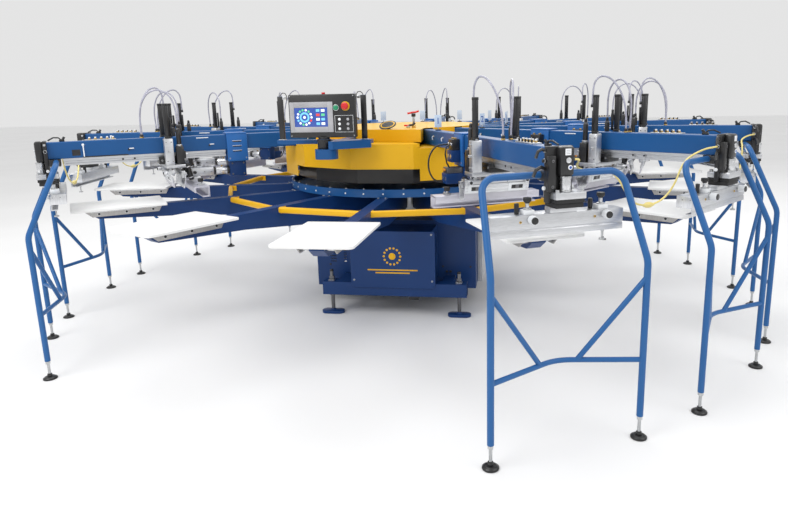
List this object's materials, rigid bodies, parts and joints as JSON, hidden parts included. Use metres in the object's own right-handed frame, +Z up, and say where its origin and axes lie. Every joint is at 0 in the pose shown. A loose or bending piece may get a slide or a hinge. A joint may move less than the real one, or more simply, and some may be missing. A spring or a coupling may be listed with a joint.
{
  "type": "screen printing carousel",
  "caption": "Automatic rotary screen printing press with pallets on a turning table under radial print heads, open loading stations and a swivel console.",
  "frame": {"origin": "on the floor at the vertical axis of the turntable and the fixed centre column", "axes": "+Z up, -Y towards the operator's open loading side and the console, +X to the operator's right"},
  "size_m": [5.4836, 5.3483, 1.7239],
  "materials": {
    "frame_blue": "gloss enamel",
    "deep_blue": "gloss enamel",
    "tube_blue": "gloss enamel",
    "cover_yellow": "gloss enamel",
    "bracket_black": "satin",
    "rod_black": "satin",
    "aluminium": "satin",
    "zinc": "plated",
    "pallet_white": "satin",
    "panel_black": "textured",
    "stop_red": "gloss",
    "start_green": "gloss",
    "hose_clear": "gloss",
    "cable_yellow": "satin",
    "squeegee_aluminium": "satin"
  },
  "bodies": {
    "frame": {"base_frame": "deep_blue", "base_cabinet": "deep_blue", "base_access_panel": "deep_blue", "levelling_feet": "zinc", "centre_column": "bracket_black", "centre_covers": "cover_yellow", "head_beams": "frame_blue", "slide_rails": "aluminium", "inner_brackets": "frame_blue", "outer_brackets": "bracket_black", "screen_clamps": "aluminium", "leg_frames": "tube_blue", "console_tray": "frame_blue", "air_hoses": "hose_clear", "head_cables": "cable_yellow"},
    "lift": {"lift_sleeve": "zinc"},
    "turntable": {"turntable_hub": "frame_blue", "pallet_arms": "deep_blue", "stiffener_bars": "cover_yellow", "pallet_brackets": "aluminium", "pallets": "pallet_white"},
    "console": {"control_panel": "panel_black"},
    "stop": {"stop_button": "stop_red"},
    "start": {"start_button": "start_green"},
    "carriage_01": {"carriage_01": "rod_black"},
    "squeegee_01": {"squeegee_01": "squeegee_aluminium"},
    "flood_01": {"flood_bar_01": "zinc"},
    "carriage_02": {"carriage_02": "rod_black"},
    "squeegee_02": {"squeegee_02": "squeegee_aluminium"},
    "flood_02": {"flood_bar_02": "zinc"},
    "carriage_03": {"carriage_03": "rod_black"},
    "squeegee_03": {"squeegee_03": "squeegee_aluminium"},
    "flood_03": {"flood_bar_03": "zinc"},
    "carriage_04": {"carriage_04": "rod_black"},
    "squeegee_04": {"squeegee_04": "squeegee_aluminium"},
    "flood_04": {"flood_bar_04": "zinc"},
    "carriage_05": {"carriage_05": "rod_black"},
    "squeegee_05": {"squeegee_05": "squeegee_aluminium"},
    "flood_05": {"flood_bar_05": "zinc"},
    "carriage_06": {"carriage_06": "rod_black"},
    "squeegee_06": {"squeegee_06": "squeegee_aluminium"},
    "flood_06": {"flood_bar_06": "zinc"},
    "carriage_07": {"carriage_07": "rod_black"},
    "squeegee_07": {"squeegee_07": "squeegee_aluminium"},
    "flood_07": {"flood_bar_07": "zinc"},
    "carriage_08": {"carriage_08": "rod_black"},
    "squeegee_08": {"squeegee_08": "squeegee_aluminium"},
    "flood_08": {"flood_bar_08": "zinc"},
    "carriage_09": {"carriage_09": "rod_black"},
    "squeegee_09": {"squeegee_09": "squeegee_aluminium"},
    "flood_09": {"flood_bar_09": "zinc"},
    "carriage_10": {"carriage_10": "rod_black"},
    "squeegee_10": {"squeegee_10": "squeegee_aluminium"},
    "flood_10": {"flood_bar_10": "zinc"},
    "carriage_11": {"carriage_11": "rod_black"},
    "squeegee_11": {"squeegee_11": "squeegee_aluminium"},
    "flood_11": {"flood_bar_11": "zinc"},
    "carriage_12": {"carriage_12": "rod_black"},
    "squeegee_12": {"squeegee_12": "squeegee_aluminium"},
    "flood_12": {"flood_bar_12": "zinc"}
  },
  "joints": [
    {"name": "table_lift", "type": "slide", "parent": "frame", "child": "lift", "axis": [0, 0, 1], "range_m": [0, 0.025]},
    {"name": "table_index", "type": "hinge", "parent": "lift", "child": "turntable", "pos_m": [0, 0, 0.87], "axis": [0, 0, 1], "continuous": true},
    {"name": "stroke_01", "type": "slide", "parent": "frame", "child": "carriage_01", "axis": [0.4339, -0.901, 0], "range_m": [0, 0.46], "deforming": ["air_hoses"]},
    {"name": "squeegee_chop_01", "type": "slide", "parent": "carriage_01", "child": "squeegee_01", "axis": [0, 0, 1], "range_m": [-0.06, 0]},
    {"name": "flood_chop_01", "type": "slide", "parent": "carriage_01", "child": "flood_01", "axis": [0, 0, 1], "range_m": [-0.05, 0]},
    {"name": "stroke_02", "type": "slide", "parent": "frame", "child": "carriage_02", "axis": [0.7818, -0.6235, 0], "range_m": [0, 0.46]},
    {"name": "squeegee_chop_02", "type": "slide", "parent": "carriage_02", "child": "squeegee_02", "axis": [0, 0, 1], "range_m": [-0.06, 0]},
    {"name": "flood_chop_02", "type": "slide", "parent": "carriage_02", "child": "flood_02", "axis": [0, 0, 1], "range_m": [-0.05, 0]},
    {"name": "stroke_03", "type": "slide", "parent": "frame", "child": "carriage_03", "axis": [0.9749, -0.2225, 0], "range_m": [0, 0.46]},
    {"name": "squeegee_chop_03", "type": "slide", "parent": "carriage_03", "child": "squeegee_03", "axis": [0, 0, 1], "range_m": [-0.06, 0]},
    {"name": "flood_chop_03", "type": "slide", "parent": "carriage_03", "child": "flood_03", "axis": [0, 0, 1], "range_m": [-0.05, 0]},
    {"name": "stroke_04", "type": "slide", "parent": "frame", "child": "carriage_04", "axis": [0.9749, 0.2225, 0], "range_m": [0, 0.46]},
    {"name": "squeegee_chop_04", "type": "slide", "parent": "carriage_04", "child": "squeegee_04", "axis": [0, 0, 1], "range_m": [-0.06, 0]},
    {"name": "flood_chop_04", "type": "slide", "parent": "carriage_04", "child": "flood_04", "axis": [0, 0, 1], "range_m": [-0.05, 0]},
    {"name": "stroke_05", "type": "slide", "parent": "frame", "child": "carriage_05", "axis": [0.7818, 0.6235, 0], "range_m": [0, 0.46]},
    {"name": "squeegee_chop_05", "type": "slide", "parent": "carriage_05", "child": "squeegee_05", "axis": [0, 0, 1], "range_m": [-0.06, 0]},
    {"name": "flood_chop_05", "type": "slide", "parent": "carriage_05", "child": "flood_05", "axis": [0, 0, 1], "range_m": [-0.05, 0]},
    {"name": "stroke_06", "type": "slide", "parent": "frame", "child": "carriage_06", "axis": [0.4339, 0.901, 0], "range_m": [0, 0.46]},
    {"name": "squeegee_chop_06", "type": "slide", "parent": "carriage_06", "child": "squeegee_06", "axis": [0, 0, 1], "range_m": [-0.06, 0]},
    {"name": "flood_chop_06", "type": "slide", "parent": "carriage_06", "child": "flood_06", "axis": [0, 0, 1], "range_m": [-0.05, 0]},
    {"name": "stroke_07", "type": "slide", "parent": "frame", "child": "carriage_07", "axis": [0, 1, 0], "range_m": [0, 0.46]},
    {"name": "squeegee_chop_07", "type": "slide", "parent": "carriage_07", "child": "squeegee_07", "axis": [0, 0, 1], "range_m": [-0.06, 0]},
    {"name": "flood_chop_07", "type": "slide", "parent": "carriage_07", "child": "flood_07", "axis": [0, 0, 1], "range_m": [-0.05, 0]},
    {"name": "stroke_08", "type": "slide", "parent": "frame", "child": "carriage_08", "axis": [-0.4339, 0.901, 0], "range_m": [0, 0.46]},
    {"name": "squeegee_chop_08", "type": "slide", "parent": "carriage_08", "child": "squeegee_08", "axis": [0, 0, 1], "range_m": [-0.06, 0]},
    {"name": "flood_chop_08", "type": "slide", "parent": "carriage_08", "child": "flood_08", "axis": [0, 0, 1], "range_m": [-0.05, 0]},
    {"name": "stroke_09", "type": "slide", "parent": "frame", "child": "carriage_09", "axis": [-0.7818, 0.6235, 0], "range_m": [0, 0.46]},
    {"name": "squeegee_chop_09", "type": "slide", "parent": "carriage_09", "child": "squeegee_09", "axis": [0, 0, 1], "range_m": [-0.06, 0]},
    {"name": "flood_chop_09", "type": "slide", "parent": "carriage_09", "child": "flood_09", "axis": [0, 0, 1], "range_m": [-0.05, 0]},
    {"name": "stroke_10", "type": "slide", "parent": "frame", "child": "carriage_10", "axis": [-0.9749, 0.2225, 0], "range_m": [0, 0.46]},
    {"name": "squeegee_chop_10", "type": "slide", "parent": "carriage_10", "child": "squeegee_10", "axis": [0, 0, 1], "range_m": [-0.06, 0]},
    {"name": "flood_chop_10", "type": "slide", "parent": "carriage_10", "child": "flood_10", "axis": [0, 0, 1], "range_m": [-0.05, 0]},
    {"name": "stroke_11", "type": "slide", "parent": "frame", "child": "carriage_11", "axis": [-0.9749, -0.2225, 0], "range_m": [0, 0.46]},
    {"name": "squeegee_chop_11", "type": "slide", "parent": "carriage_11", "child": "squeegee_11", "axis": [0, 0, 1], "range_m": [-0.06, 0]},
    {"name": "flood_chop_11", "type": "slide", "parent": "carriage_11", "child": "flood_11", "axis": [0, 0, 1], "range_m": [-0.05, 0]},
    {"name": "stroke_12", "type": "slide", "parent": "frame", "child": "carriage_12", "axis": [-0.7818, -0.6235, 0], "range_m": [0, 0.46]},
    {"name": "squeegee_chop_12", "type": "slide", "parent": "carriage_12", "child": "squeegee_12", "axis": [0, 0, 1], "range_m": [-0.06, 0]},
    {"name": "flood_chop_12", "type": "slide", "parent": "carriage_12", "child": "flood_12", "axis": [0, 0, 1], "range_m": [-0.05, 0]},
    {"name": "console_swivel", "type": "hinge", "parent": "frame", "child": "console", "pos_m": [-0.336, -1.14, 1.364], "axis": [0, 0, 1], "range_deg": [-60, 60]},
    {"name": "stop_press", "type": "slide", "parent": "console", "child": "stop", "axis": [0, 1, 0], "range_m": [0, 0.006], "stiffness_N_per_m": 900},
    {"name": "start_press", "type": "slide", "parent": "console", "child": "start", "axis": [0, 1, 0], "range_m": [0, 0.004], "stiffness_N_per_m": 600}
  ],
  "couplings": [
    {"joint": "stroke_02", "follows": "stroke_01", "ratio": 1},
    {"joint": "squeegee_chop_02", "follows": "squeegee_chop_01", "ratio": 1},
    {"joint": "flood_chop_02", "follows": "flood_chop_01", "ratio": 1},
    {"joint": "stroke_03", "follows": "stroke_01", "ratio": 1},
    {"joint": "squeegee_chop_03", "follows": "squeegee_chop_01", "ratio": 1},
    {"joint": "flood_chop_03", "follows": "flood_chop_01", "ratio": 1},
    {"joint": "stroke_04", "follows": "stroke_01", "ratio": 1},
    {"joint": "squeegee_chop_04", "follows": "squeegee_chop_01", "ratio": 1},
    {"joint": "flood_chop_04", "follows": "flood_chop_01", "ratio": 1},
    {"joint": "stroke_05", "follows": "stroke_01", "ratio": 1},
    {"joint": "squeegee_chop_05", "follows": "squeegee_chop_01", "ratio": 1},
    {"joint": "flood_chop_05", "follows": "flood_chop_01", "ratio": 1},
    {"joint": "stroke_06", "follows": "stroke_01", "ratio": 1},
    {"joint": "squeegee_chop_06", "follows": "squeegee_chop_01", "ratio": 1},
    {"joint": "flood_chop_06", "follows": "flood_chop_01", "ratio": 1},
    {"joint": "stroke_07", "follows": "stroke_01", "ratio": 1},
    {"joint": "squeegee_chop_07", "follows": "squeegee_chop_01", "ratio": 1},
    {"joint": "flood_chop_07", "follows": "flood_chop_01", "ratio": 1},
    {"joint": "stroke_08", "follows": "stroke_01", "ratio": 1},
    {"joint": "squeegee_chop_08", "follows": "squeegee_chop_01", "ratio": 1},
    {"joint": "flood_chop_08", "follows": "flood_chop_01", "ratio": 1},
    {"joint": "stroke_09", "follows": "stroke_01", "ratio": 1},
    {"joint": "squeegee_chop_09", "follows": "squeegee_chop_01", "ratio": 1},
    {"joint": "flood_chop_09", "follows": "flood_chop_01", "ratio": 1},
    {"joint": "stroke_10", "follows": "stroke_01", "ratio": 1},
    {"joint": "squeegee_chop_10", "follows": "squeegee_chop_01", "ratio": 1},
    {"joint": "flood_chop_10", "follows": "flood_chop_01", "ratio": 1},
    {"joint": "stroke_11", "follows": "stroke_01", "ratio": 1},
    {"joint": "squeegee_chop_11", "follows": "squeegee_chop_01", "ratio": 1},
    {"joint": "flood_chop_11", "follows": "flood_chop_01", "ratio": 1},
    {"joint": "stroke_12", "follows": "stroke_01", "ratio": 1},
    {"joint": "squeegee_chop_12", "follows": "squeegee_chop_01", "ratio": 1},
    {"joint": "flood_chop_12", "follows": "flood_chop_01", "ratio": 1}
  ]
}
